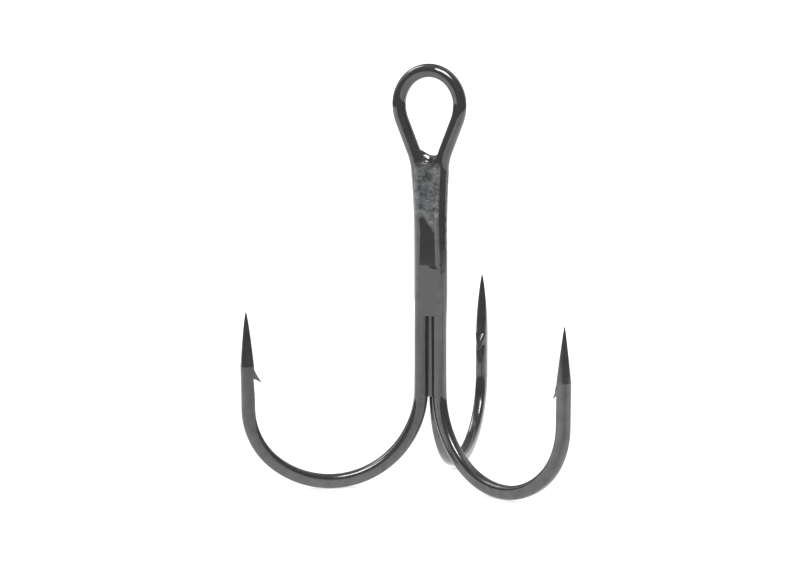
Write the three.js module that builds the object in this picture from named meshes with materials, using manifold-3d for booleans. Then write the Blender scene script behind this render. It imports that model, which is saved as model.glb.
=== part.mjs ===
// Treble hook: three round-bend fishing hooks back to back on one shank, under one eye.
//
// The hook is made as the real one is. One long wire is looped at its middle into the eye, and
// its two ends become two of the hooks (the double hook). A second, shorter wire lies in the
// groove behind that pair of shanks and becomes the third hook (the single hook). Brazing metal
// runs into the three grooves between the wires and holds them together.
//
// Millimetres, +Z up. The origin is the middle of the eye, on the axis of the shank. The eye lies
// in the XZ plane, the single hook points to +Y, and the object is its own mirror image in X.

import * as THREE from 'three';
import { mergeVertices } from 'three/addons/utils/BufferGeometryUtils.js';
import Module from 'manifold-3d';

const wasm = await Module();
wasm.setup();

const degrees = Math.PI / 180;

// Driving dimensions.
const wireDiameter = 1.56;
const wireSides = 16;
const ringSpacing = 0.95;

// The shanks. The two of the double hook stand side by side, and the single hook's shank rests
// against both from behind, but for a film of brazing metal.
const shankHalfSpacing = 1.105;
const brazeFilm = 0.02;
const singleOffset = Math.sqrt(wireDiameter ** 2 - shankHalfSpacing ** 2) + brazeFilm;
const singleShankTop = -6.4;
const bendStart = -32.5;

// The eye: a drop shape, of arcs from the top of the loop down to the straight shank.
const eyeHalfHeight = 3.83;
const eyeArcs = { crown: 3.36, flank: 4.05, lower: 5.1, throat: 7.2, closing: 85 };
const eyeLegSlope = 21.5 * degrees;
const closingSlope = 5 * degrees;

// The hooks: a wide round bend in three arcs, the last one tighter, and then a straight point.
const hookAzimuth = -30 * degrees;
const bendArcs = [
  { radius: 10.15, turn: 90 * degrees },
  { radius: 10.5, turn: 40 * degrees },
  { radius: 8.3, turn: 49.2 * degrees },
];
const pointLength = { double: 11.12, single: 11.86 };
const needleLength = { double: 6.25, single: 7.0 };

// The bend is pressed flat: taller in the hook's own plane, and thinner across it. The point stays
// as thin, and is a little less tall.
const forged = { bendHeight: 1.62, pointHeight: 1.57, thickness: 1.32, blend: 3 };

// The ground needle point, and the barb that is raised behind it. The barb's distances are back
// from where the needle starts. It rises out of the wire's inner side, and its root is buried.
const needle = { bluntness: 0.7, tipDiameter: 0.08 };
const barb = { start: 0.25, notch: 1.41, tip: 1.77, rise: 0.74, thickness: 0.5, inset: 0.04, root: 0.35 };

// The brazing metal, and the clearance that keeps it off the wires. Its faces are distances out
// from the plane through the middles of the two wires that it lies between.
const brazeGap = 0.04;
const frontBraze = { top: -5.6, flushBottom: -24, bottom: -33.2, flushFace: 0.68, recessedFace: 0.2 };
const frontBrazeBack = { depth: 0.35, halfWidth: 0.3 };
const backBraze = { top: -6.6, bottom: -31, face: 0.62 };

const blackNickel = new THREE.MeshStandardMaterial({ color: 0x5e6063, metalness: 1, roughness: 0.28 });
const brazeMetal = new THREE.MeshStandardMaterial({ color: 0x606467, metalness: 1, roughness: 0.42 });

const wireRadius = wireDiameter / 2;
const down = new THREE.Vector3(0, 0, -1);

// A wire's centre line, as straight stretches and arcs that follow on from each other. Each arc
// turns about the normal of the plane that it lies in.
class WireRoute extends THREE.Curve {
  constructor(start, heading) {
    super();
    this.end = start.clone();
    this.heading = heading.clone();
    this.stretches = [];
    this.total = 0;
  }

  straight(length, normal) {
    this.add({ length, normal, curvature: 0 });
    return this;
  }

  arc(radius, turn, normal) {
    this.add({ length: radius * Math.abs(turn), normal, curvature: Math.sign(turn) / radius });
    return this;
  }

  add(stretch) {
    Object.assign(stretch, { from: this.total, start: this.end, heading: this.heading });
    this.stretches.push(stretch);
    this.total += stretch.length;
    this.end = this.along(stretch, stretch.length);
    const turn = stretch.length * stretch.curvature;
    this.heading = stretch.heading.clone().applyAxisAngle(stretch.normal, turn);
  }

  along(stretch, distance) {
    if (stretch.curvature === 0) {
      return stretch.start.clone().addScaledVector(stretch.heading, distance);
    }
    const toCentre = stretch.normal.clone().cross(stretch.heading).divideScalar(stretch.curvature);
    const turn = distance * stretch.curvature;
    const fromCentre = toCentre.clone().negate().applyAxisAngle(stretch.normal, turn);
    return stretch.start.clone().add(toCentre).add(fromCentre);
  }

  stretchAt(distance) {
    return this.stretches.findLast((stretch) => distance >= stretch.from) ?? this.stretches[0];
  }

  getPoint(t, target = new THREE.Vector3()) {
    const distance = t * this.total;
    const stretch = this.stretchAt(distance);
    return target.copy(this.along(stretch, distance - stretch.from));
  }
}

// A wire that is the same on both sides of the YZ plane, drawn from the route of its +X half.
class MirroredRoute extends THREE.Curve {
  constructor(half) {
    super();
    this.half = half;
  }

  getPoint(t, target = new THREE.Vector3()) {
    this.half.getPoint(Math.abs(2 * t - 1), target);
    if (t < 0.5) target.x = -target.x;
    return target;
  }
}

// Adds a hook to a route that comes straight down the shank: the bend and the point, in the
// upright plane that faces outward.
function addHook(route, outward, kind) {
  const normal = down.clone().cross(outward);
  route.bendFrom = route.total;
  bendArcs.forEach(({ radius, turn }) => route.arc(radius, turn, normal));
  route.pointFrom = route.total;
  route.straight(pointLength[kind], normal);
  route.needleLength = needleLength[kind];
  return route;
}

// The +X half of the double hook's wire, from the top of the eye to the point.
function doubleHookRoute() {
  const eyeNormal = new THREE.Vector3(0, 1, 0);
  const { crown, flank, lower, throat, closing } = eyeArcs;
  const widest = crown * Math.SQRT1_2 + flank * (1 - Math.SQRT1_2);
  const drawnIn = lower * (1 - Math.cos(eyeLegSlope))
    + throat * (Math.cos(closingSlope) - Math.cos(eyeLegSlope))
    + closing * (1 - Math.cos(closingSlope));
  const legLength = (widest - drawnIn - shankHalfSpacing) / Math.sin(eyeLegSlope);

  const route = new WireRoute(new THREE.Vector3(0, 0, eyeHalfHeight), new THREE.Vector3(1, 0, 0));
  route.arc(crown, 45 * degrees, eyeNormal);
  route.arc(flank, 45 * degrees, eyeNormal);
  route.arc(lower, eyeLegSlope, eyeNormal);
  route.straight(legLength, eyeNormal);
  route.arc(throat, closingSlope - eyeLegSlope, eyeNormal);
  route.arc(closing, -closingSlope, eyeNormal);
  route.straight(route.end.z - bendStart, eyeNormal);
  const outward = new THREE.Vector3(Math.cos(hookAzimuth), Math.sin(hookAzimuth), 0);
  return addHook(route, outward, 'double');
}

// The single hook's wire, from the top of its shank to the point.
function singleHookRoute() {
  const outward = new THREE.Vector3(0, 1, 0);
  const route = new WireRoute(new THREE.Vector3(0, singleOffset, singleShankTop), down);
  route.straight(singleShankTop - bendStart, down.clone().cross(outward));
  return addHook(route, outward, 'single');
}

// How far the wire is pressed and ground at a distance along its route: its half height in the
// hook's plane and its half thickness across it, over the wire's own radius.
function sectionAt(route, distance) {
  const blendAt = (middle) => (
    THREE.MathUtils.smoothstep(distance, middle - forged.blend, middle + forged.blend));
  const pressed = blendAt(route.bendFrom);
  const released = blendAt(route.pointFrom);
  const height = 1 + (forged.bendHeight / wireDiameter - 1) * pressed
    - (forged.bendHeight - forged.pointHeight) / wireDiameter * released;
  const thickness = 1 + (forged.thickness / wireDiameter - 1) * pressed;
  const fromTip = Math.max(0, route.total - distance);
  const blunt = needle.tipDiameter / wireDiameter;
  const ground = Math.max(blunt, Math.min(1, fromTip / route.needleLength) ** needle.bluntness);
  return { height: height * ground, thickness: thickness * ground };
}

function roundSection(radius) {
  return new THREE.Shape().absellipse(0, 0, radius, radius, 0, 2 * Math.PI);
}

function tube(route, radius, steps) {
  const options = { steps, extrudePath: route, bevelEnabled: false, curveSegments: wireSides / 2 };
  return new THREE.ExtrudeGeometry(roundSection(radius), options);
}

// A round wire along a route, then pressed and ground ring by ring. half is the route of one
// hook, which is the whole route, or on a mirrored wire the +X half of it.
function wire(route, half, mirrored) {
  const length = half.total * (mirrored ? 2 : 1);
  const steps = 2 * Math.round(length / ringSpacing / 2);
  const geometry = tube(route, wireRadius, steps);
  const rings = [];
  for (let i = 0; i <= steps; i++) {
    const t = i / steps;
    const distance = (mirrored ? Math.abs(2 * t - 1) : t) * half.total;
    const normal = half.stretchAt(distance).normal.clone();
    if (mirrored && t < 0.5) normal.x = -normal.x;
    rings.push({ centre: route.getPoint(t), normal, ...sectionAt(half, distance) });
  }
  const position = geometry.attributes.position;
  const vertex = new THREE.Vector3();
  for (let i = 0; i < position.count; i++) {
    vertex.fromBufferAttribute(position, i);
    const ring = rings.reduce((best, other) => (
      other.centre.distanceToSquared(vertex) < best.centre.distanceToSquared(vertex) ? other : best));
    const offset = vertex.clone().sub(ring.centre);
    const across = ring.normal.clone().multiplyScalar(offset.dot(ring.normal));
    offset.sub(across).multiplyScalar(ring.height).addScaledVector(across, ring.thickness);
    position.setXYZ(i, ...ring.centre.clone().add(offset));
  }
  return geometry;
}

function solid(geometry) {
  const bare = geometry.clone();
  bare.deleteAttribute('normal');
  bare.deleteAttribute('uv');
  const merged = mergeVertices(bare);
  return new wasm.Manifold(new wasm.Mesh({
    numProp: 3,
    vertProperties: merged.attributes.position.array,
    triVerts: new Uint32Array(merged.index.array),
  }));
}

function geometryOf(manifold) {
  const { numProp, vertProperties, triVerts } = manifold.getMesh();
  const geometry = new THREE.BufferGeometry();
  geometry.setAttribute('position', new THREE.BufferAttribute(vertProperties, numProp));
  geometry.setIndex(new THREE.BufferAttribute(triVerts, 1));
  geometry.computeVertexNormals();
  return geometry;
}

// The barb: a thin wedge raised from the side of the point that faces the shank, its tip turned
// back towards the bend.
function barbGeometry(route, mirrored) {
  const { normal } = route.stretches.at(-1);
  const along = route.heading;
  const inward = normal.clone().cross(along);
  const surface = forged.pointHeight / 2;
  const outline = new THREE.Shape();
  outline.moveTo(surface - barb.root, -barb.start + barb.root);
  outline.lineTo(surface - barb.inset, -barb.start);
  outline.lineTo(surface + barb.rise, -barb.tip);
  outline.lineTo(surface - barb.inset, -barb.notch);
  outline.lineTo(surface - barb.root, -barb.notch);
  const wedge = new THREE.ExtrudeGeometry(outline, { depth: barb.thickness, bevelEnabled: false });
  wedge.translate(0, 0, -barb.thickness / 2);
  const across = inward.clone().cross(along);
  const needleStart = route.end.clone().addScaledVector(along, -route.needleLength);
  wedge.applyMatrix4(new THREE.Matrix4().makeBasis(inward, along, across).setPosition(needleStart));
  return mirrored ? mirroredInX(wedge) : wedge;
}

// A mirror image in the YZ plane, with its triangles turned to face outward again.
function mirroredInX(geometry) {
  const image = geometry.clone().scale(-1, 1, 1);
  const position = image.attributes.position;
  const corner = new THREE.Vector3();
  const swapped = new THREE.Vector3();
  for (let i = 0; i < position.count; i += 3) {
    corner.fromBufferAttribute(position, i + 1);
    swapped.fromBufferAttribute(position, i + 2);
    position.setXYZ(i + 1, ...swapped);
    position.setXYZ(i + 2, ...corner);
  }
  return image;
}

// An upright prism over an outline of [x, y] corners.
function prism(corners, top, bottom) {
  const outline = new THREE.Shape(corners.map(([x, y]) => new THREE.Vector2(x, y)));
  const geometry = new THREE.ExtrudeGeometry(outline, { depth: top - bottom, bevelEnabled: false });
  return solid(geometry.translate(0, 0, bottom));
}

// Brazing metal: a filling that stands in a groove, cut back by the wires around it.
function braze(filling, wires) {
  return geometryOf(wires.reduce((rest, grown) => rest.subtract(grown), filling));
}

const doubleRoute = doubleHookRoute();
const doubleWire = new MirroredRoute(doubleRoute);
const singleRoute = singleHookRoute();

const doubleHook = geometryOf(
  solid(wire(doubleWire, doubleRoute, true))
    .add(solid(barbGeometry(doubleRoute, false)))
    .add(solid(barbGeometry(doubleRoute, true))));
const singleHook = geometryOf(
  solid(wire(singleRoute, singleRoute, false))
    .add(solid(barbGeometry(singleRoute, false))));

// The wires as the brazing metal meets them: the same routes, a little thicker all round.
const grownRadius = wireRadius / Math.cos(Math.PI / wireSides) + brazeGap;
const grownWires = [
  solid(tube(doubleWire, grownRadius, 2 * Math.round(doubleRoute.total / ringSpacing))),
  solid(tube(singleRoute, grownRadius, Math.round(singleRoute.total / ringSpacing))),
];

// The front groove lies between the two shanks of the double hook. The metal is flush with their
// fronts at first, and sunk between them further down.
function frontFilling(face, top, bottom) {
  const { depth, halfWidth } = frontBrazeBack;
  const front = [[-shankHalfSpacing, -face], [shankHalfSpacing, -face]];
  const back = [[halfWidth, depth], [-halfWidth, depth]];
  return prism([...front, ...back], top, bottom);
}

// Each back groove lies between the single hook's shank and one shank of the double hook.
function backFilling(side) {
  const outward = new THREE.Vector2(singleOffset, shankHalfSpacing).setLength(backBraze.face);
  const corners = [
    [shankHalfSpacing + outward.x, outward.y],
    [outward.x, singleOffset + outward.y],
    [shankHalfSpacing / 2, singleOffset / 2],
  ];
  const placed = side > 0 ? corners : corners.map(([x, y]) => [-x, y]).reverse();
  return prism(placed, backBraze.top, backBraze.bottom);
}

const { top, flushBottom, bottom, flushFace, recessedFace } = frontBraze;
const flushFilling = frontFilling(flushFace, top, flushBottom);
const recessedFilling = frontFilling(recessedFace, top, bottom);

const trebleHook = new THREE.Group();

function addPiece(name, geometry, material) {
  const mesh = new THREE.Mesh(geometry, material);
  mesh.name = name;
  trebleHook.add(mesh);
}

addPiece('double_hook', doubleHook, blackNickel);
addPiece('single_hook', singleHook, blackNickel);
addPiece('braze_front', braze(flushFilling.add(recessedFilling), grownWires), brazeMetal);
addPiece('braze_back_right', braze(backFilling(1), grownWires), brazeMetal);
addPiece('braze_back_left', braze(backFilling(-1), grownWires), brazeMetal);

export default trebleHook;
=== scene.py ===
"""A black-nickel treble hook standing on its three bends in a white studio.

The two wires are rebuilt as fine lofts along the same routes as the CAD wires, with pressed bends,
ground needle points and cut barbs. The brazing metal is rebuilt as fillets in the three grooves of
the shank. Metres throughout, in the row's frame: +Z up, the origin in the middle of the eye.
"""

import math

import bmesh
import bpy
import numpy as np
from mathutils import Matrix, Vector


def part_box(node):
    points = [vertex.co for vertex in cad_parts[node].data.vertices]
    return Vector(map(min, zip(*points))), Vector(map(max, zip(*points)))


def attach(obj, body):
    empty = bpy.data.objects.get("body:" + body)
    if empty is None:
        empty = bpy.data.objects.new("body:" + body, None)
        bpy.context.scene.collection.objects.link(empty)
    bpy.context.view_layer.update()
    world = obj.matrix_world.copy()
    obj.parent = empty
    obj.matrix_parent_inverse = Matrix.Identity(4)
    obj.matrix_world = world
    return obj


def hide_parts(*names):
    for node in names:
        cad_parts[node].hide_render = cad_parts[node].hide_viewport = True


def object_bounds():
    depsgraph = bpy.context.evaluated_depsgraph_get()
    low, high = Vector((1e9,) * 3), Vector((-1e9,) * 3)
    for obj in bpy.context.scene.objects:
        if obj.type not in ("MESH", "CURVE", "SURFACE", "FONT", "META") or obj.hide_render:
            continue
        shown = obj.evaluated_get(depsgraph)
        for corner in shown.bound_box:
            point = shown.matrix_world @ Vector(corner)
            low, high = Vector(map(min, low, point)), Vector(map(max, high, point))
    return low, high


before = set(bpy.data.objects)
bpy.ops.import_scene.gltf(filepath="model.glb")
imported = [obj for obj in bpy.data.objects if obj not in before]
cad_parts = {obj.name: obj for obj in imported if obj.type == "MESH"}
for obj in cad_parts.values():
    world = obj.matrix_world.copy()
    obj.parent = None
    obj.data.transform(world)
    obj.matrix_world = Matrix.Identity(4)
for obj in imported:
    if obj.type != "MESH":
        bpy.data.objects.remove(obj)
cad_low, cad_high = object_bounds()

MM = 0.001
DEGREES = math.pi / 180

# ---------------------------------------------------------------------------------------------
# The hook's dimensions
# ---------------------------------------------------------------------------------------------

WIRE_RADIUS = 0.78 * MM
SHANK_HALF_SPACING = 1.105 * MM
# The single hook's shank lies against the other two, a little to the right of their middle, and
# its hook leans back to the left by as much.
SINGLE_ASIDE = 0.22 * MM
SINGLE_LEAN = -0.9 * DEGREES
SINGLE_GAP = 0.01 * MM
SINGLE_BEHIND = math.sqrt(4 * WIRE_RADIUS**2 - (SHANK_HALF_SPACING - SINGLE_ASIDE) ** 2) + SINGLE_GAP
SINGLE_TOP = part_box("single_hook")[1].z
# How far down from its top the single hook's wire is rounded over.
SINGLE_CROWN = 0.35 * MM
CROWN_LEAST = 0.05
BEND_START = -32.5 * MM

# The eye: the top of its centre line, its arcs' radii from the top down, and how far the legs and
# then the closing shanks lean from upright.
EYE_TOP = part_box("double_hook")[1].z - WIRE_RADIUS
EYE_CROWN = 3.36 * MM
EYE_FLANK = 4.05 * MM
EYE_LOWER = 5.1 * MM
EYE_THROAT = 7.2 * MM
EYE_CLOSING = 85 * MM
EYE_LEG_SLOPE = 21.5 * DEGREES
CLOSING_SLOPE = 5 * DEGREES

HOOK_AZIMUTH = -30 * DEGREES
# The bend's arcs, each as its radius and turn, and the straight lengths from there to the tips.
BEND_ARCS = ((10.15 * MM, 90 * DEGREES), (10.5 * MM, 40 * DEGREES), (8.3 * MM, 49.2 * DEGREES))
DOUBLE_POINT = 11.12 * MM
SINGLE_POINT = 11.86 * MM

# The pressed bend, against the round wire: half height in the hook's plane, half thickness
# across it, and how square the section is (2 is an ellipse).
PRESSED_HEIGHT = 0.81 * MM
PRESSED_THICKNESS = 0.67 * MM
PRESSED_SQUARENESS = 3.1
POINT_HEIGHT = 0.787 * MM
PRESS_BLEND = 3 * MM

# The needle points' lengths, how their height grows from the tip as a power of the distance, and
# the same for their thickness, with how much it bulges midway.
DOUBLE_NEEDLE = 6.25 * MM
SINGLE_NEEDLE = 7.0 * MM
NEEDLE_TAPER = 0.7
DOUBLE_SIDE = (0.8, 0.0)
SINGLE_SIDE = (0.58, 0.15)
NEEDLE_ROUND_TO = 0.1
TIP_RADIUS = 0.018 * MM

# The barb, as distances back from where the needle starts and out from the wire's inner side.
# Its outer side is hollow on the double hook and a little full on the single one. The cut under it
# runs out towards the bend.
BARB_START = 0.25 * MM
SINGLE_BARB_START = -0.08 * MM
BARB_HOLLOW = 0.05 * MM
SINGLE_BARB_HOLLOW = -0.05 * MM
BARB_NOTCH = 1.41 * MM
BARB_TIP = 2.03 * MM
BARB_RISE = 0.9 * MM
BARB_WIDTH = 1.22 * MM
BARB_TIP_WIDTH = 0.016 * MM
BARB_INSET = 0.04 * MM
BARB_ROOT = (0.1 * MM, -0.3 * MM)
BARB_UNDERCUT = 0.12 * MM
BARB_TUCK = 0.06 * MM
BARB_LEAST = 0.012 * MM
TINY = 1e-9
# The share of the barb's length that is joined to the wire, before the part that stands free.
BARB_SHARE = 0.62
BARB_STEPS = 30
BARB_SIDES = 24
CUT_LEAD = 0.25 * MM
CUT_LAG = 0.05 * MM
CUT_TOP = 1.37 * MM
CUT_END = 3.75 * MM
CUT_DEPTH = 0.17 * MM

# How far the shank lies to +X of the middle, by height, in millimetres, and the distances from the
# axis over which the hooks take that up.
SHANK_SWAY = ((-34.5, 0.03), (-30, 0.075), (-25.6, 0.085), (-21, 0.135), (-15.5, 0.14))
SHANK_SWAY += ((-11.5, 0.11), (-9, 0.08), (-5, 0.0))
SWAY_FULL = 2 * MM
SWAY_NONE = 11 * MM

# How fine the wires' meshes are: the rings' spacing, and the closer ones towards the tip.
RING_SPACING = 0.14 * MM
BEFORE_NEEDLE = 4 * MM
POINT_RINGS = 160
TIP_LENGTH = 1 * MM
TIP_RINGS = 28
WIRE_SIDES = 56
SLIVER = 0.0008 * MM
WIRE_CREASE = 32 * DEGREES
BRAZE_CREASE = 50 * DEGREES

DOWN = np.array([0.0, 0.0, -1.0])


def smoothstep(value, low, high):
    t = np.clip((value - low) / (high - low), 0, 1)
    return t * t * (3 - 2 * t)


# ---------------------------------------------------------------------------------------------
# Routes: a wire's centre line, as straight stretches and arcs that follow on from each other
# ---------------------------------------------------------------------------------------------


def turned(vector, axis, angle):
    """vector turned about a unit axis that it is square to."""
    return vector * math.cos(angle) + np.cross(axis, vector) * math.sin(angle)


class Route:
    """A centre line that grows by straight stretches and arcs, and can be sampled by distance."""

    def __init__(self, start, heading):
        self.end = np.array(start, float)
        self.heading = np.array(heading, float)
        self.stretches = []
        self.total = 0.0

    def add(self, length, curvature, normal):
        stretch = {"from": self.total, "curvature": curvature}
        stretch.update(normal=np.array(normal, float), start=self.end, heading=self.heading)
        self.stretches.append(stretch)
        self.total += length
        self.end, self.heading = self.follow(stretch, length)

    def straight(self, length, normal):
        self.add(length, 0.0, normal)

    def arc(self, radius, turn, normal):
        self.add(radius * abs(turn), math.copysign(1 / radius, turn), normal)

    @staticmethod
    def follow(stretch, distance):
        curvature = stretch["curvature"]
        if curvature == 0:
            return stretch["start"] + stretch["heading"] * distance, stretch["heading"]
        angle = distance * curvature
        to_centre = np.cross(stretch["normal"], stretch["heading"]) / curvature
        point = stretch["start"] + to_centre - turned(to_centre, stretch["normal"], angle)
        return point, turned(stretch["heading"], stretch["normal"], angle)

    def at(self, distance):
        """The centre, heading and plane normal at a distance along the route."""
        stretch = [s for s in self.stretches if distance >= s["from"] - 1e-12][-1]
        point, heading = self.follow(stretch, distance - stretch["from"])
        return point, heading, stretch["normal"]


def add_hook(route, outward, point_length, needle_length, needle_side):
    """Adds the bend and the straight end with the needle point, in the plane through outward."""
    normal = np.cross(DOWN, outward)
    route.needle_length = needle_length
    route.needle_side = needle_side
    route.bend_from = route.total
    for radius, turn in BEND_ARCS:
        route.arc(radius, turn, normal)
    route.heel_end = route.total
    route.straight(point_length, normal)
    route.hook_normal = normal


def double_hook_route():
    """The +X half of the double hook's wire, from the top of the eye to the point."""
    normal = (0, 1, 0)
    widest = EYE_CROWN * math.sin(math.pi / 4) + EYE_FLANK * (1 - math.sin(math.pi / 4))
    drawn_in = EYE_LOWER * (1 - math.cos(EYE_LEG_SLOPE))
    drawn_in += EYE_THROAT * (math.cos(CLOSING_SLOPE) - math.cos(EYE_LEG_SLOPE))
    drawn_in += EYE_CLOSING * (1 - math.cos(CLOSING_SLOPE))
    leg = (widest - drawn_in - SHANK_HALF_SPACING) / math.sin(EYE_LEG_SLOPE)
    route = Route((0, 0, EYE_TOP), (1, 0, 0))
    route.arc(EYE_CROWN, math.pi / 4, normal)
    route.arc(EYE_FLANK, math.pi / 4, normal)
    route.arc(EYE_LOWER, EYE_LEG_SLOPE, normal)
    route.straight(leg, normal)
    route.arc(EYE_THROAT, CLOSING_SLOPE - EYE_LEG_SLOPE, normal)
    route.arc(EYE_CLOSING, -CLOSING_SLOPE, normal)
    route.shank_from = route.total
    outward = np.array([math.cos(HOOK_AZIMUTH), math.sin(HOOK_AZIMUTH), 0])
    route.straight(route.end[2] - BEND_START, np.cross(DOWN, outward))
    add_hook(route, outward, DOUBLE_POINT, DOUBLE_NEEDLE, DOUBLE_SIDE)
    return route


def single_hook_route():
    """The single hook's wire, from the top of its shank to the point."""
    outward = np.array([math.sin(SINGLE_LEAN), math.cos(SINGLE_LEAN), 0.0])
    route = Route((SINGLE_ASIDE, SINGLE_BEHIND, SINGLE_TOP), DOWN)
    route.straight(SINGLE_TOP - BEND_START, np.cross(DOWN, outward))
    add_hook(route, outward, SINGLE_POINT, SINGLE_NEEDLE, SINGLE_SIDE)
    return route


# ---------------------------------------------------------------------------------------------
# Wires: a loft of sections along a route
# ---------------------------------------------------------------------------------------------


def section(route, distance, angles):
    """The section's outline at a distance along a hook's route, for angles from the direction of
    the hook's inner side, as offsets towards the inner side and along the plane's normal."""
    pressed = smoothstep(distance, route.bend_from - PRESS_BLEND, route.bend_from + PRESS_BLEND)
    released = smoothstep(distance, route.heel_end - PRESS_BLEND, route.heel_end + PRESS_BLEND)
    height = WIRE_RADIUS + (PRESSED_HEIGHT - WIRE_RADIUS) * pressed
    height += (POINT_HEIGHT - PRESSED_HEIGHT) * released
    thickness = WIRE_RADIUS + (PRESSED_THICKNESS - WIRE_RADIUS) * pressed
    squareness = 2 + (PRESSED_SQUARENESS - 2) * pressed

    from_tip = route.total - distance
    along_needle = np.clip(from_tip / route.needle_length, 0, 1)
    squareness = 2 + (squareness - 2) * smoothstep(along_needle, NEEDLE_ROUND_TO, 1)
    height = max(TIP_RADIUS, height * along_needle**NEEDLE_TAPER)
    side_taper, side_bulge = route.needle_side
    bulge = 1 + side_bulge * math.sin(math.pi * along_needle)
    thickness = max(TIP_RADIUS, thickness * along_needle**side_taper * bulge)

    cosine, sine = np.cos(angles), np.sin(angles)
    inward = height * np.sign(cosine) * np.abs(cosine) ** (2 / squareness)
    across = thickness * np.sign(sine) * np.abs(sine) ** (2 / squareness)
    behind = from_tip - route.needle_length
    cut = CUT_DEPTH * smoothstep(behind, CUT_TOP - CUT_LEAD, CUT_TOP + CUT_LAG)
    cut *= np.clip((CUT_END - behind) / (CUT_END - CUT_TOP), 0, 1)
    inward = np.minimum(inward, height - cut)
    return inward, across


def ring_distances(route):
    """Distances along a route: evenly spaced, closer on the needle and closest at the tip."""
    body = route.total - route.needle_length - BEFORE_NEEDLE
    even = np.linspace(0, body, int(body / RING_SPACING))
    point = np.linspace(body, route.total - TIP_LENGTH, POINT_RINGS)[1:]
    tip = route.total - TIP_LENGTH * np.linspace(1, 0, TIP_RINGS)[1:] ** 1.6
    return np.concatenate([even, point, tip])


def half_wire_rings(route, roll_at, crown=0.0):
    """Rings of points along a route. roll_at(distance) gives the section's starting angle, and
    crown is the distance over which the wire's cut end is rounded."""
    rings, along = [], []
    base = np.linspace(0, 2 * math.pi, WIRE_SIDES, endpoint=False)
    for distance in ring_distances(route):
        centre, heading, normal = route.at(distance)
        inner = np.cross(normal, heading)
        inward, across = section(route, distance, base + roll_at(distance))
        end = 1.0
        if crown:
            inset = np.clip(1 - distance / crown, 0, 1)
            end = max(math.sqrt(1 - inset**2), CROWN_LEAST)
        rings.append(centre + end * (np.outer(inward, inner) + np.outer(across, normal)))
        along.append(distance)
    return rings, along


def mesh_object(name, points, faces, attributes=None):
    """A mesh object in the scene, with a value at each point for each attribute."""
    mesh = bpy.data.meshes.new(name)
    mesh.from_pydata([tuple(p) for p in points], [], faces)
    for key, values in (attributes or {}).items():
        layer = mesh.attributes.new(key, "FLOAT", "POINT")
        layer.data.foreach_set("value", np.array(values, np.float32))
    mesh.validate()
    mesh.update()
    piece = bpy.data.objects.new(name, mesh)
    bpy.context.scene.collection.objects.link(piece)
    return piece


def loft(name, rings, along, zipped=False):
    """A closed mesh through rings of the same number of points. It has a fan at each end, or is
    zipped across from the first half of the ring's points to the second."""
    sides = len(rings[0])
    points = np.concatenate(rings)
    faces = []
    for i in range(len(rings) - 1):
        a, b = i * sides, (i + 1) * sides
        for j in range(sides):
            k = (j + 1) % sides
            faces.append((a + j, a + k, b + k, b + j))
    end = (len(rings) - 1) * sides
    if zipped:
        for j in range(sides // 2 - 1):
            opposite = sides - 1 - j
            faces.append((j, opposite, opposite - 1, j + 1))
            faces.append((end + j, end + j + 1, end + opposite - 1, end + opposite))
        return mesh_object(name, points, faces, {"along": np.repeat(along, sides)})
    first, last = len(points), len(points) + 1
    points = np.vstack([points, rings[0].mean(0), rings[-1].mean(0)])
    for j in range(sides):
        k = (j + 1) % sides
        faces.append((first, k, j))
        faces.append((last, end + j, end + k))
    distances = np.concatenate([np.repeat(along, sides), [along[0], along[-1]]])
    return mesh_object(name, points, faces, {"along": distances})


def turn_faces_outward(piece):
    """Recalculates a closed mesh's faces so that they all face outward."""
    working = bmesh.new()
    working.from_mesh(piece.data)
    bmesh.ops.recalc_face_normals(working, faces=working.faces)
    if working.calc_volume(signed=True) < 0:
        bmesh.ops.reverse_faces(working, faces=working.faces)
    working.to_mesh(piece.data)
    working.free()


def drop_slivers(piece):
    """Merges points that lie almost together, and removes points that only split an edge."""
    working = bmesh.new()
    working.from_mesh(piece.data)
    bmesh.ops.remove_doubles(working, verts=working.verts, dist=SLIVER)
    bmesh.ops.dissolve_degenerate(working, edges=working.edges, dist=SLIVER)
    spare = [vertex for vertex in working.verts if len(vertex.link_edges) == 2]
    bmesh.ops.dissolve_verts(working, verts=spare)
    working.to_mesh(piece.data)
    working.free()


def join_solid(piece, tool):
    """Adds a tool's solid to a piece, and removes the tool."""
    modifier = piece.modifiers.new("join", "BOOLEAN")
    modifier.operation = "UNION"
    modifier.solver = "EXACT"
    modifier.object = tool
    depsgraph = bpy.context.evaluated_depsgraph_get()
    mesh = bpy.data.meshes.new_from_object(piece.evaluated_get(depsgraph))
    piece.modifiers.clear()
    piece.data = mesh
    bpy.data.objects.remove(tool)
    drop_slivers(piece)


def smooth(piece, crease):
    """Smooth shading, apart from edges that turn by more than the crease angle."""
    piece.data.shade_smooth()
    piece.data.set_sharp_from_angle(angle=crease)


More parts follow.
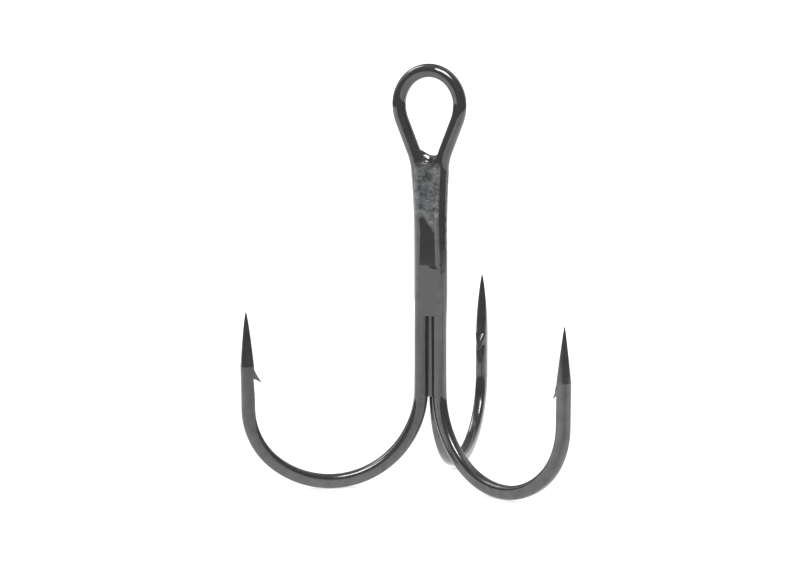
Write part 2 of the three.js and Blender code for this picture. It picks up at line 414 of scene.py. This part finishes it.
def barb(route, barb_start=BARB_START, hollow=BARB_HOLLOW, mirrored=False):
    """The barb: a sliver of the wire's inner side, cut from behind and bent out. It is as wide as
    the wire where it starts and runs to a sharp tip."""
    inner = np.cross(route.hook_normal, route.heading)
    needle_start = route.end - route.heading * route.needle_length
    start = np.array([barb_start, POINT_HEIGHT - BARB_INSET])
    tip = np.array([BARB_TIP, POINT_HEIGHT + BARB_RISE])
    buried = start + BARB_ROOT
    notch = np.array([BARB_NOTCH, POINT_HEIGHT - CUT_DEPTH - BARB_UNDERCUT])
    rings = []
    for t in np.linspace(0, 1, BARB_STEPS + 1):
        outer = start + (tip - start) * t
        outer[1] -= hollow * math.sin(math.pi * t)
        if t < BARB_SHARE:
            under = buried + (notch - buried) * t / BARB_SHARE
        else:
            share = (t - BARB_SHARE) / (1 - BARB_SHARE)
            under = notch + (tip - notch) * share
            under[0] -= BARB_TUCK * math.sin(math.pi * share)
        half_width = 0.5 * (BARB_WIDTH * (1 - t**1.6) ** 0.8 + BARB_TIP_WIDTH)
        middle, reach = (outer + under) / 2, (outer - under) / 2
        size = np.linalg.norm(reach)
        grown = reach * max(1.0, BARB_LEAST / max(size, TINY))
        reach = grown if size > 0 else np.array([0, BARB_LEAST])
        ring = []
        for angle in np.linspace(0, 2 * math.pi, BARB_SIDES, endpoint=False):
            across = half_width * math.cos(angle)
            place = middle + reach * math.sin(angle)
            point = needle_start - route.heading * place[0] + inner * place[1]
            ring.append(point + route.hook_normal * across)
        rings.append(np.array(ring))
    if mirrored:
        rings = [ring * (-1, 1, 1) for ring in rings]
    piece = loft("barb", rings, [route.total - route.needle_length] * len(rings))
    turn_faces_outward(piece)
    return piece


def build_double_hook():
    """The eye, both front shanks and their hooks: one half's rings and their mirror image."""
    route = double_hook_route()
    shank_to = route.bend_from - PRESS_BLEND

    def roll(distance):
        """The eye's inner side faces the axis and the hook's faces outward, half a turn away less
        the hook's own azimuth, which the round shank takes up as a slow twist."""
        if distance < route.shank_from:
            return 0.0
        twist = smoothstep(distance, route.shank_from, shank_to)
        return math.pi + HOOK_AZIMUTH * (1 - twist)

    rings, along = half_wire_rings(route, roll)
    image = [ring * (-1, 1, 1) for ring in rings[:0:-1]]
    away = [-distance for distance in along[:0:-1]]
    piece = loft("double_hook_wire", image + rings, away + along)
    turn_faces_outward(piece)
    join_solid(piece, barb(route))
    join_solid(piece, barb(route, mirrored=True))
    smooth(piece, WIRE_CREASE)
    return piece


def build_single_hook():
    """The third hook, on the shank behind the other two."""
    route = single_hook_route()
    rings, along = half_wire_rings(route, lambda distance: 0.0, SINGLE_CROWN)
    piece = loft("single_hook_wire", rings, along)
    turn_faces_outward(piece)
    join_solid(piece, barb(route, SINGLE_BARB_START, SINGLE_BARB_HOLLOW))
    smooth(piece, WIRE_CREASE)
    return piece


# ---------------------------------------------------------------------------------------------
# Brazing metal: fillets in the three grooves between the wires
# ---------------------------------------------------------------------------------------------

double_route = double_hook_route()
shank_distances = np.linspace(0, double_route.bend_from + 3 * MM, 700)
SHANK_LINE = np.array([double_route.at(distance)[0] for distance in shank_distances])
SHANK_LINE = SHANK_LINE[SHANK_LINE[:, 2] < -1 * MM]


def shank_spread(z):
    """Half the distance between the double hook's shanks at a height, below the eye's middle."""
    return np.interp(-z, -SHANK_LINE[:, 2], SHANK_LINE[:, 0])


def soft_max(a, b, blend):
    """The larger of two heights, with a round fillet of about blend where they cross."""
    share = np.clip(0.5 + 0.5 * (a - b) / blend, 0, 1)
    return b + (a - b) * share + blend * share * (1 - share)


def ramp(z, *stops):
    """A value that runs evenly between (height, value) stops, lowest first."""
    heights, values = zip(*stops)
    return float(np.interp(z, np.array(heights) * MM, np.array(values) * MM))


def fillet(name, heights, ground, sides, columns=72):
    """Brazing metal in a groove, lofted through sections at the given heights. ground(z) gives the
    section's middle, its directions across and out of the groove, and half the wires' spacing.
    sides(z, half, columns) gives that many places p across, and there the front's and the back's
    distances out of the groove and the rise in height."""
    rings = []
    for z in heights:
        middle, along, out, half = ground(z)
        p, front, back, rise = sides(z, half, columns)
        outline = np.concatenate([np.stack([p, front], 1), np.stack([p, back], 1)[::-1]])
        level = z + np.concatenate([rise, rise[::-1]])
        flat = middle + np.outer(outline[:, 0], along) + np.outer(outline[:, 1], out)
        rings.append(np.column_stack([flat, level]))
    piece = loft(name, rings, list(heights), zipped=True)
    turn_faces_outward(piece)
    smooth(piece, BRAZE_CREASE)
    return piece


def rounded_end(z, end, reach):
    """1 away from an end, falling along a quarter circle to 0 at it."""
    t = np.clip(abs(end - z) / reach, 0.0, 1.0)
    return max(math.sqrt(1 - (1 - t) ** 2), 0.02)


def closed(front, back, share):
    """Front and back drawn in to the middle between them, where share is less than 1."""
    centre = (front + back) / 2
    return centre + (front - centre) * share, centre + (back - centre) * share


def on_wires(p, half):
    """How far out of the groove the wires' surface stands at each place p across."""
    return np.sqrt(np.clip(WIRE_RADIUS**2 - (np.abs(p) - half) ** 2, 0, None))


FRONT_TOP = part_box("braze_front")[1].z
FLUSH_END = FRONT_TOP - 18.4 * MM
GROOVE_END = -33.3 * MM
BACK_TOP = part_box("braze_back_left")[1].z
BACK_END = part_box("braze_back_left")[0].z

# The front metal by height, in millimetres: how far it lies under the fronts of the wires, how
# hollow it is across, and how much it falls from left to right.
FRONT_RECESS = ((-33.5, 0.86), (-30, 0.84), (-23.97, 0.78), (-23.9, 0.02), (-20, 0.02))
FRONT_RECESS += ((-18.3, 0.0), (-15.5, 0.065), (-12.4, 0.12), (-8.5, 0.17), (-6.5, 0.25))
FRONT_RECESS += ((-5, 0.4),)
FRONT_HOLLOW = ((-33.5, 2.0), (-23.97, 2.0), (-23.9, 0.0), (-9, 0.0), (-7, 0.28), (-5, 0.38))
FRONT_TILT = ((-18.45, 0.0), (-18.25, 0.06), (-9, 0.06), (-7.2, 0.0), (-6.2, -0.08), (-5, -0.08))
GROOVE_HOLLOW_REACH = 0.5 * MM
FRONT_LIMIT = 0.96 * WIRE_RADIUS
# The meniscus at the eye. To each side: where it starts to rise, the distance in which it rises by
# one step, and the power that it rises with.
MENISCUS_TOP = FRONT_TOP - 0.09 * MM
MENISCUS_LEFT = (0.11 * MM, 0.62 * MM, 1.15)
MENISCUS_RIGHT = (0.54 * MM, 0.58 * MM, 2.26)
MENISCUS_STEP = 0.31 * MM
MENISCUS_HIGHEST = 0.95 * MM
MENISCUS_ROUND = 1.75 * MM
MENISCUS_SHARE = 2.6 * MM
# The coat of metal wiped over the wires, and how far the metal lies under their surface elsewhere.
UNDER = 0.012 * MM
WIPED_END = -12.5 * MM
WIPED_REACH = 1.72 * MM
COAT = 0.035 * MM


def build_front_braze():
    """Metal in the front groove: a concave meniscus at the eye, a rough wiped stretch below it, a
    flush stretch, and a recessed stretch down to where the wires part."""

    def ground(z):
        return np.zeros(2), np.array([1.0, 0]), np.array([0, -1.0]), shank_spread(z)

    def meniscus(z, p):
        """How much higher than at the middle of the groove the metal stands, near its top."""
        share = float(smoothstep(z, MENISCUS_TOP - MENISCUS_SHARE, MENISCUS_TOP))
        left_start, left_run, left_power = MENISCUS_LEFT
        right_start, right_run, right_power = MENISCUS_RIGHT
        left = np.clip((left_start - p) / left_run, 0, None) ** left_power
        right = np.clip((p - right_start) / right_run, 0, None) ** right_power
        return share * np.minimum(MENISCUS_STEP * (left + right), MENISCUS_HIGHEST)

    def sides(z, half, columns):
        wiped = float(smoothstep(z, WIPED_END - 0.4 * MM, WIPED_END + 0.4 * MM))
        left = (half + 0.08 * MM) * (1 - wiped) + WIPED_REACH * wiped
        right = half + 0.1 * MM * wiped
        p = np.linspace(-left, right, columns)
        rise = meniscus(z, p)
        half = shank_spread(z + rise)
        edge = smoothstep(p, -left, -left + 0.14 * MM)
        edge = edge * (1 - smoothstep(p, right - 0.1 * MM, right))
        coat = COAT * wiped * edge - UNDER * (1 - wiped * edge)
        inner = np.clip(p, -half, half)
        hollow_reach = GROOVE_HOLLOW_REACH if z < -20 * MM else half - 0.1 * MM
        hollow = np.clip(np.abs(inner), 0, hollow_reach)
        fill = WIRE_RADIUS - ramp(z, *FRONT_RECESS) + ramp(z, *FRONT_HOLLOW) * (hollow / MM) ** 2
        fill = fill - ramp(z, *FRONT_TILT) / MM * inner - 3 * (np.abs(p) - np.abs(inner))
        if z > -9 * MM:
            limited = -soft_max(-fill, np.full_like(p, -FRONT_LIMIT), 0.1 * MM)
            fill = np.where(p > 0, limited, fill)
        blend = 0.035 * MM + 0.03 * MM * float(1 - smoothstep(z, -25 * MM, -23.6 * MM))
        front = soft_max(on_wires(p, half) + coat, fill, blend)
        throat = float(smoothstep(z, MENISCUS_TOP - 4 * MM, MENISCUS_TOP - 1 * MM))
        back = np.full_like(p, -0.1 * MM - 0.5 * MM * throat)
        if z > -24 * MM:
            back = np.minimum(front - 0.3 * MM, 0.4 * MM)
            back = back + (-0.6 * MM - back) * throat
        close = rounded_end(z, MENISCUS_TOP, MENISCUS_ROUND) * rounded_end(z, GROOVE_END, 0.3 * MM)
        return p, *closed(front, back, close), rise

    heights = np.concatenate([
        np.linspace(GROOVE_END, GROOVE_END + 0.5 * MM, 10),
        np.linspace(GROOVE_END + 0.6 * MM, FLUSH_END - 0.65 * MM, 60),
        np.linspace(FLUSH_END - 0.6 * MM, FLUSH_END + 0.5 * MM, 34),
        np.linspace(FLUSH_END + 0.6 * MM, MENISCUS_TOP - 2 * MM, 170),
        MENISCUS_TOP - 2 * MM * (1 - np.linspace(0, 1, 56)[1:]) ** 1.6,
    ])
    return fillet("front_braze", heights, ground, sides)


# The metal at the back: how far round a wire it reaches plainly and where it is wiped, as shares of
# the wire's radius, and by height, in millimetres, how far out of the groove it stands.
BACK_REACH = 0.3
BACK_COAT_REACH = 0.86
BACK_COAT_LEFT = 0.05 * MM
BACK_COAT_RIGHT = 0.06 * MM
BACK_FILL = ((-31, 0.02), (-28, 0.38), (-24, 0.5), (-8, 0.5), (-6.4, 0.3))
BACK_CROWN = 0.35 * MM


def build_back_braze(name, side, coat):
    """Metal between the single hook's shank and one shank of the double hook, wiped round the
    outside of the double hook's wire as far down as the metal at the front is flush."""

    def ground(z):
        outer = np.array([side * shank_spread(z), 0])
        single = np.array([SINGLE_ASIDE, SINGLE_BEHIND])
        ends = (outer, single) if side > 0 else (single, outer)
        span = np.linalg.norm(ends[1] - ends[0])
        along = (ends[1] - ends[0]) / span
        return (ends[0] + ends[1]) / 2, along, np.array([along[1], -along[0]]), span / 2

    def sides(z, half, columns):
        wiped = float(smoothstep(z, FLUSH_END - 1.5 * MM, FLUSH_END + 2.5 * MM))
        wiped *= 1 - float(smoothstep(z, BACK_TOP - 1.2 * MM, BACK_TOP + 0.2 * MM))
        reach = (BACK_REACH + (BACK_COAT_REACH - BACK_REACH) * wiped) * WIRE_RADIUS
        ends = (half + reach, half + BACK_REACH * WIRE_RADIUS)
        left, right = ends if side > 0 else ends[::-1]
        p = np.linspace(-left, right, columns)
        outer = -p * side
        fade = 1 - smoothstep(outer, half + 0.55 * reach, half + reach)
        fade *= smoothstep(outer, -half, 0.5 * half)
        skin = coat * wiped * fade - UNDER * (1 - wiped * fade)
        fill = ramp(z, *BACK_FILL)
        front = soft_max(on_wires(p, half) + skin, np.full_like(p, fill), 0.2 * MM)
        back = np.full_like(p, -0.05 * MM)
        close = rounded_end(z, BACK_TOP + BACK_CROWN, 0.3 * MM) * rounded_end(z, BACK_END, 0.4 * MM)
        return p, *closed(front, back, close), np.zeros_like(p)

    heights = np.concatenate([
        np.linspace(BACK_END, BACK_END + 1 * MM, 16),
        np.linspace(BACK_END + 1.15 * MM, FLUSH_END - 0.35 * MM, 40),
        np.linspace(FLUSH_END - 0.3 * MM, FLUSH_END + 0.4 * MM, 14),
        np.linspace(FLUSH_END + 0.5 * MM, BACK_TOP - 1 * MM, 90),
        np.linspace(BACK_TOP - 0.95 * MM, BACK_TOP + BACK_CROWN, 20),
    ])
    return fillet(name, heights, ground, sides, 60)


# ---------------------------------------------------------------------------------------------
# Materials
# ---------------------------------------------------------------------------------------------


class Nodes:
    """A small helper that adds and links a material's nodes."""

    def __init__(self, name):
        self.material = bpy.data.materials.new(name)
        self.material.use_nodes = True
        self.tree = self.material.node_tree
        self.shader = self.tree.nodes["Principled BSDF"]

    def add(self, kind, inputs=None, **settings):
        node = self.tree.nodes.new(kind)
        for key, value in settings.items():
            setattr(node, key, value)
        for key, value in (inputs or {}).items():
            self.fill(node.inputs[key], value)
        return node

    def fill(self, socket, value):
        """Links a socket to another node's output, or sets it to a fixed value."""
        if isinstance(value, bpy.types.NodeSocket):
            self.tree.links.new(value, socket)
        else:
            socket.default_value = value

    def link(self, output, socket):
        self.tree.links.new(output, socket)

    def position(self):
        return self.add("ShaderNodeTexCoord").outputs["Object"]

    def along(self):
        return self.add("ShaderNodeAttribute", attribute_name="along").outputs["Fac"]

    def noise(self, scale, detail=3.0, rough=0.55, vector=None):
        inputs = {"Scale": scale, "Detail": detail, "Roughness": rough}
        inputs["Vector"] = vector or self.position()
        return self.add("ShaderNodeTexNoise", inputs).outputs["Fac"]

    def remap(self, value, low, high, to_low, to_high):
        inputs = {"Value": value, "From Min": low, "From Max": high}
        inputs.update({"To Min": to_low, "To Max": to_high})
        return self.add("ShaderNodeMapRange", inputs).outputs["Result"]

    def maths(self, operation, a, b):
        return self.add("ShaderNodeMath", {0: a, 1: b}, operation=operation).outputs[0]

    def mix(self, factor, a, b):
        # A colour Mix node's own sockets: its factor, its two colours and its result.
        node = self.add("ShaderNodeMix", {0: factor}, data_type="RGBA")
        self.fill(node.inputs[6], a)
        self.fill(node.inputs[7], b)
        return node.outputs[2]

    def bump(self, height, strength, distance, normal=None):
        inputs = {"Height": height, "Strength": strength, "Distance": distance}
        if normal is not None:
            inputs["Normal"] = normal
        return self.add("ShaderNodeBump", inputs).outputs["Normal"]


METALLIC = 0.75
NICKEL_DARK = (0.084, 0.084, 0.085, 1)
NICKEL_LIGHT = (0.107, 0.107, 0.108, 1)
# Distances along a wire between which the pressed part's rougher surface sets in.
WORKED_FROM = 38 * MM
WORKED_FULL = 46 * MM
BRAZE_TONE = (0.096, 0.096, 0.097, 1)
WIPED_DARK = (0.09, 0.094, 0.098, 1)
WIPED_LIGHT = (0.2, 0.205, 0.208, 1)
# Heights over which the wiped, mottled surface fades in and out, and how much its lower edge
# climbs towards the right, from a little left of the middle.
MOTTLE_LOW = (FRONT_TOP - 7.6 * MM, FRONT_TOP - 6.9 * MM)
MOTTLE_HIGH = (FRONT_TOP - 1.05 * MM, FRONT_TOP - 0.7 * MM)
MOTTLE_SLANT = 1.4
MOTTLE_SLANT_FROM = -0.4 * MM
MOTTLE_WANDER = 0.3 * MM


def black_nickel():
    """Glossy black nickel over drawn wire, a little rougher on the pressed bends and the points."""
    n = Nodes("black_nickel")
    tone = n.noise(900, 4, 0.6)
    fine = n.noise(9000, 2, 0.5)
    patch = n.remap(tone, 0.35, 0.65, 0, 1)
    n.link(n.mix(patch, NICKEL_DARK, NICKEL_LIGHT), n.shader.inputs["Base Color"])
    worked = n.remap(n.maths("ABSOLUTE", n.along(), 0.0), WORKED_FROM, WORKED_FULL, 0, 1)
    uneven = n.remap(n.noise(2500, 3, 0.6), 0.3, 0.7, 0.03, 0.06)
    n.link(n.maths("ADD", uneven, n.maths("MULTIPLY", worked, 0.08)), n.shader.inputs["Roughness"])
    grain = n.bump(fine, 0.05, 0.00002)
    n.link(n.bump(tone, 0.1, 0.00006, grain), n.shader.inputs["Normal"])
    n.shader.inputs["Metallic"].default_value = METALLIC
    return n.material


def braze_metal():
    """Smooth brazing metal, and rough and blotchy where it was wiped just below the eye."""
    n = Nodes("braze_metal")
    place = n.add("ShaderNodeSeparateXYZ", {0: n.position()})
    aside = n.maths("MAXIMUM", place.outputs["X"], MOTTLE_SLANT_FROM)
    slanted = n.maths("MULTIPLY", aside, MOTTLE_SLANT)
    wander = n.remap(n.noise(1100, 2, 0.5), 0.3, 0.7, -MOTTLE_WANDER, MOTTLE_WANDER)
    height = n.maths("ADD", place.outputs["Z"], n.maths("ADD", slanted, wander))
    over_low = n.remap(height, *MOTTLE_LOW, 0, 1)
    under_high = n.remap(place.outputs["Z"], *MOTTLE_HIGH, 1, 0)
    mottled = n.maths("MULTIPLY", over_low, under_high)
    blotch = n.noise(1200, 3, 0.55)
    patch = n.remap(blotch, 0.32, 0.7, 0, 1)
    rough_tone = n.mix(patch, WIPED_DARK, WIPED_LIGHT)
    n.link(n.mix(mottled, BRAZE_TONE, rough_tone), n.shader.inputs["Base Color"])
    dull = n.remap(n.noise(3000, 3, 0.6), 0.3, 0.7, 0.12, 0.4)
    roughness = n.add("ShaderNodeMix", data_type="FLOAT")
    n.link(mottled, roughness.inputs[0])
    roughness.inputs[2].default_value = 0.05
    n.link(dull, roughness.inputs[3])
    n.link(roughness.outputs[0], n.shader.inputs["Roughness"])
    relief = n.maths("MULTIPLY", blotch, mottled)
    n.link(n.bump(relief, 0.5, 0.00016), n.shader.inputs["Normal"])
    n.shader.inputs["Metallic"].default_value = METALLIC
    return n.material


# ---------------------------------------------------------------------------------------------
# Studio: floor, world, cards that only the reflections see, and the camera
# ---------------------------------------------------------------------------------------------

VIEW_AZIMUTH = 18 * DEGREES
VIEW_ELEVATION = 8.16 * DEGREES


# The strengths of what the reflections see.
WHITE = 1.25
SIDE_WHITE = 1.25
DARK = 0.17
SOFTBOX = 14.0
# The softboxes, each as its middle, half width and edge in degrees.
OVERHEAD_AZIMUTH = (-1.5, 23.5, 1.5)
OVERHEAD_ELEVATION = (51.5, 11.5, 1.5)
REAR_AZIMUTH = (238, 18, 4)
REAR_ELEVATION = (50, 12, 4)
# The table's front edges, each as its azimuth from the camera and its distance from the hook.
TABLE_EDGES = ((20 * DEGREES, 0.178), (60 * DEGREES, 0.182))
EDGE_SOFTNESS = 0.006
LEFT_EDGE = 0.36
LEFT_SOFTNESS = 0.03
DOME_RADIUS = 1.5
FLOOR_REACH = 40.0
FLOOR_TONE = (0.55, 0.55, 0.55, 1)
FLOOR_GLOW = 0.62
WORLD_STRENGTH = 1.45

LENS = 135
SENSOR = 36
CAMERA_ROLL = -0.19 * DEGREES
# Where the camera aims and how far away it is, as shares of the hook's height.
AIM_BELOW = 0.023366
AIM_LEFT = 0.069886
CAMERA_DISTANCE = 7.0631


def sight(azimuth, elevation):
    """The unit vector from the hook towards a place in the studio. Azimuth 0 is -Y."""
    flat = math.cos(elevation)
    return Vector((math.sin(azimuth) * flat, -math.cos(azimuth) * flat, math.sin(elevation)))


def soft_box(value, centre, half_width, edge):
    """1 within half_width of a centre, falling to 0 over a soft edge."""
    return 1 - smoothstep(np.abs(value - centre), half_width - edge, half_width + edge)


def room_light(azimuth, elevation):
    """What a reflection sees above the table: a dark front to the room with an overhead softbox,
    and white sides. Angles in degrees, with azimuth 0 at the camera and positive to its right."""
    left = -112 + 30 * smoothstep(elevation, 5, 35)
    dark = smoothstep(azimuth, left - 16, left + 16) * (1 - smoothstep(azimuth, 95, 128))
    light = SIDE_WHITE * (1 - dark) + DARK * dark
    light = light + 0.13 * WHITE * dark * smoothstep(elevation, 30, 60)
    glow = np.exp(-(((azimuth - 4) / 26) ** 2) - ((elevation - 42) / 18) ** 2)
    box = soft_box(azimuth, *OVERHEAD_AZIMUTH) * soft_box(elevation, *OVERHEAD_ELEVATION)
    light = light + 0.4 * WHITE * glow * dark + SOFTBOX * box
    around = (azimuth + 360) % 360
    behind = soft_box(around, 190, 42, 18)
    light = light * (1 - behind) + behind * 2 * DARK
    rear_box = soft_box(around, *REAR_AZIMUTH) * soft_box(elevation, *REAR_ELEVATION)
    return light + 0.4 * SOFTBOX * rear_box


def table_light(across, towards):
    """What a reflection sees on the table, in metres from the hook: white, brighter to the sides,
    with a painted shadow of the hook just in front of it to the right, and dark beyond the table's
    front and left edges."""
    aside = np.degrees(np.arctan2(np.abs(across) + 0.03, towards))
    light = WHITE * (1 + 0.43 * smoothstep(aside, 45, 100))
    azimuth = np.degrees(np.arctan2(across, towards))
    # Painted shadow of the hook on the table: the light is dimmed by up to a sixth a little in front
    # of the hook, to the camera's right.
    near = soft_box(towards, 0.058, 0.032, 0.012) * soft_box(azimuth, 25, 30, 12)
    light = light * (1 - 0.16 * near)
    beyond = smoothstep(-across, LEFT_EDGE - LEFT_SOFTNESS, LEFT_EDGE + LEFT_SOFTNESS)
    for edge_azimuth, edge_distance in TABLE_EDGES:
        reach = across * math.sin(edge_azimuth) + towards * math.cos(edge_azimuth)
        past = smoothstep(reach, edge_distance - EDGE_SOFTNESS, edge_distance + EDGE_SOFTNESS)
        beyond = np.maximum(beyond, past)
    return light * (1 - beyond) + DARK * beyond


def reflection_mesh(name, points, rows, columns, light):
    """A grid that only reflections see, with its own light at each point."""
    faces = []
    for i in range(rows - 1):
        for j in range(columns - 1):
            k = i * columns + j
            faces.append((k, k + 1, k + columns + 1, k + columns))
    piece = mesh_object(name, points, faces, {"light": light})
    material = bpy.data.materials.new(name)
    material.use_nodes = True
    tree = material.node_tree
    tree.nodes.clear()
    shader = tree.nodes.new("ShaderNodeEmission")
    attribute = tree.nodes.new("ShaderNodeAttribute")
    attribute.attribute_name = "light"
    tree.links.new(attribute.outputs["Fac"], shader.inputs["Strength"])
    output = tree.nodes.new("ShaderNodeOutputMaterial")
    tree.links.new(shader.outputs[0], output.inputs[0])
    piece.data.materials.append(material)
    piece.visible_camera = False
    piece.visible_shadow = False
    piece.visible_diffuse = False
    piece.location.z = cad_low.z
    piece.rotation_euler.z = VIEW_AZIMUTH
    return piece


def build_reflections():
    """The room and the table as the metal sees them, turned to face the camera."""
    azimuths = np.arange(-180, 180.01, 1.0)
    elevations = np.concatenate([[-1], np.arange(0, 90.01, 1.0)])
    grid_e, grid_a = np.meshgrid(elevations, azimuths, indexing="ij")
    e, a = np.radians(grid_e.ravel()), np.radians(grid_a.ravel())
    across, towards = np.cos(e) * np.sin(a), np.cos(e) * np.cos(a)
    dome = DOME_RADIUS * np.stack([across, -towards, np.sin(e)], 1)
    light = room_light(grid_a.ravel(), grid_e.ravel())
    reflection_mesh("room_reflection", dome, len(elevations), len(azimuths), light)

    near = np.linspace(0.0, 0.15, 31)[1:]
    edge = np.arange(0.152, 0.6, 0.002)
    far = np.array([0.62, 0.65, 0.7, 0.8, 0.9, 1.0, 1.2, DOME_RADIUS])
    radii = np.concatenate([[0.001], near, edge, far])
    grid_r, grid_a = np.meshgrid(radii, azimuths, indexing="ij")
    a = np.radians(grid_a.ravel())
    across, towards = grid_r.ravel() * np.sin(a), grid_r.ravel() * np.cos(a)
    disc = np.stack([across, -towards, np.full_like(across, 0.03 * MM)], 1)
    light = table_light(across, towards)
    reflection_mesh("table_reflection", disc, len(radii), len(azimuths), light)


def build_studio():
    """A pale floor that glows a little, an even white world, and the reflections."""
    corners = [(x * FLOOR_REACH, y * FLOOR_REACH, 0) for x, y in ((-1, -1), (1, -1), (1, 1), (-1, 1))]
    floor = mesh_object("floor", corners, [(0, 1, 2, 3)])
    floor.location.z = cad_low.z
    material = bpy.data.materials.new("pale_floor")
    material.use_nodes = True
    shader = material.node_tree.nodes["Principled BSDF"]
    shader.inputs["Base Color"].default_value = FLOOR_TONE
    shader.inputs["Roughness"].default_value = 1.0
    shader.inputs["Specular IOR Level"].default_value = 0.0
    shader.inputs["Emission Color"].default_value = (1, 1, 1, 1)
    shader.inputs["Emission Strength"].default_value = FLOOR_GLOW
    floor.data.materials.append(material)

    world = bpy.data.worlds.new("studio")
    world.use_nodes = True
    background = world.node_tree.nodes["Background"]
    background.inputs["Color"].default_value = (1, 1, 1, 1)
    background.inputs["Strength"].default_value = WORLD_STRENGTH
    bpy.context.scene.world = world
    bpy.context.scene.view_settings.view_transform = "Standard"
    build_reflections()


def build_camera():
    """A long lens, from a little above the hook and to the right of the eye's flat side."""
    size = (cad_high - cad_low).z
    middle = Vector((0, 0, (cad_low.z + cad_high.z) / 2 - AIM_BELOW * size))
    right = Vector((math.cos(VIEW_AZIMUTH), math.sin(VIEW_AZIMUTH), 0))
    aim = middle - right * AIM_LEFT * size
    data = bpy.data.cameras.new("camera")
    data.sensor_width = SENSOR
    data.lens = LENS
    data.clip_start = 0.01
    data.clip_end = 200
    camera = bpy.data.objects.new("camera", data)
    bpy.context.scene.collection.objects.link(camera)
    back = sight(VIEW_AZIMUTH, VIEW_ELEVATION)
    camera.location = aim + back * CAMERA_DISTANCE * size
    turn = (-back).to_track_quat("-Z", "Y").to_matrix().to_4x4()
    roll = Matrix.Rotation(CAMERA_ROLL, 4, "Z")
    camera.matrix_world = Matrix.Translation(camera.location) @ turn @ roll
    bpy.context.scene.camera = camera


def sway(piece):
    """Moves the shank a little to +X between the eye and the hooks, as the hand-bent wire lies."""
    mesh = piece.data
    place = np.empty(len(mesh.vertices) * 3)
    mesh.vertices.foreach_get("co", place)
    place = place.reshape(-1, 3)
    from_axis = np.hypot(place[:, 0], place[:, 1])
    heights, sideways = np.array(SHANK_SWAY).T * MM
    share = 1 - smoothstep(from_axis, SWAY_FULL, SWAY_NONE)
    place[:, 0] += np.interp(place[:, 2], heights, sideways) * share
    mesh.vertices.foreach_set("co", place.ravel())
    mesh.update()


def finish_piece(piece, material, slot, *nodes):
    """Gives a piece its material, and says which body it rides on and which nodes it replaces."""
    sway(piece)
    piece.data.materials.clear()
    piece.data.materials.append(material)
    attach(piece, "root")
    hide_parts(*nodes)


build_camera()
build_studio()

nickel = black_nickel()
braze = braze_metal()
finish_piece(build_double_hook(), nickel, "black_nickel", "double_hook")
finish_piece(build_single_hook(), nickel, "black_nickel", "single_hook")
finish_piece(build_front_braze(), braze, "braze", "braze_front")
back_right = build_back_braze("back_right_braze", 1, BACK_COAT_RIGHT)
finish_piece(back_right, braze, "braze", "braze_back_right")
back_left = build_back_braze("back_left_braze", -1, BACK_COAT_LEFT)
finish_piece(back_left, braze, "braze", "braze_back_left")
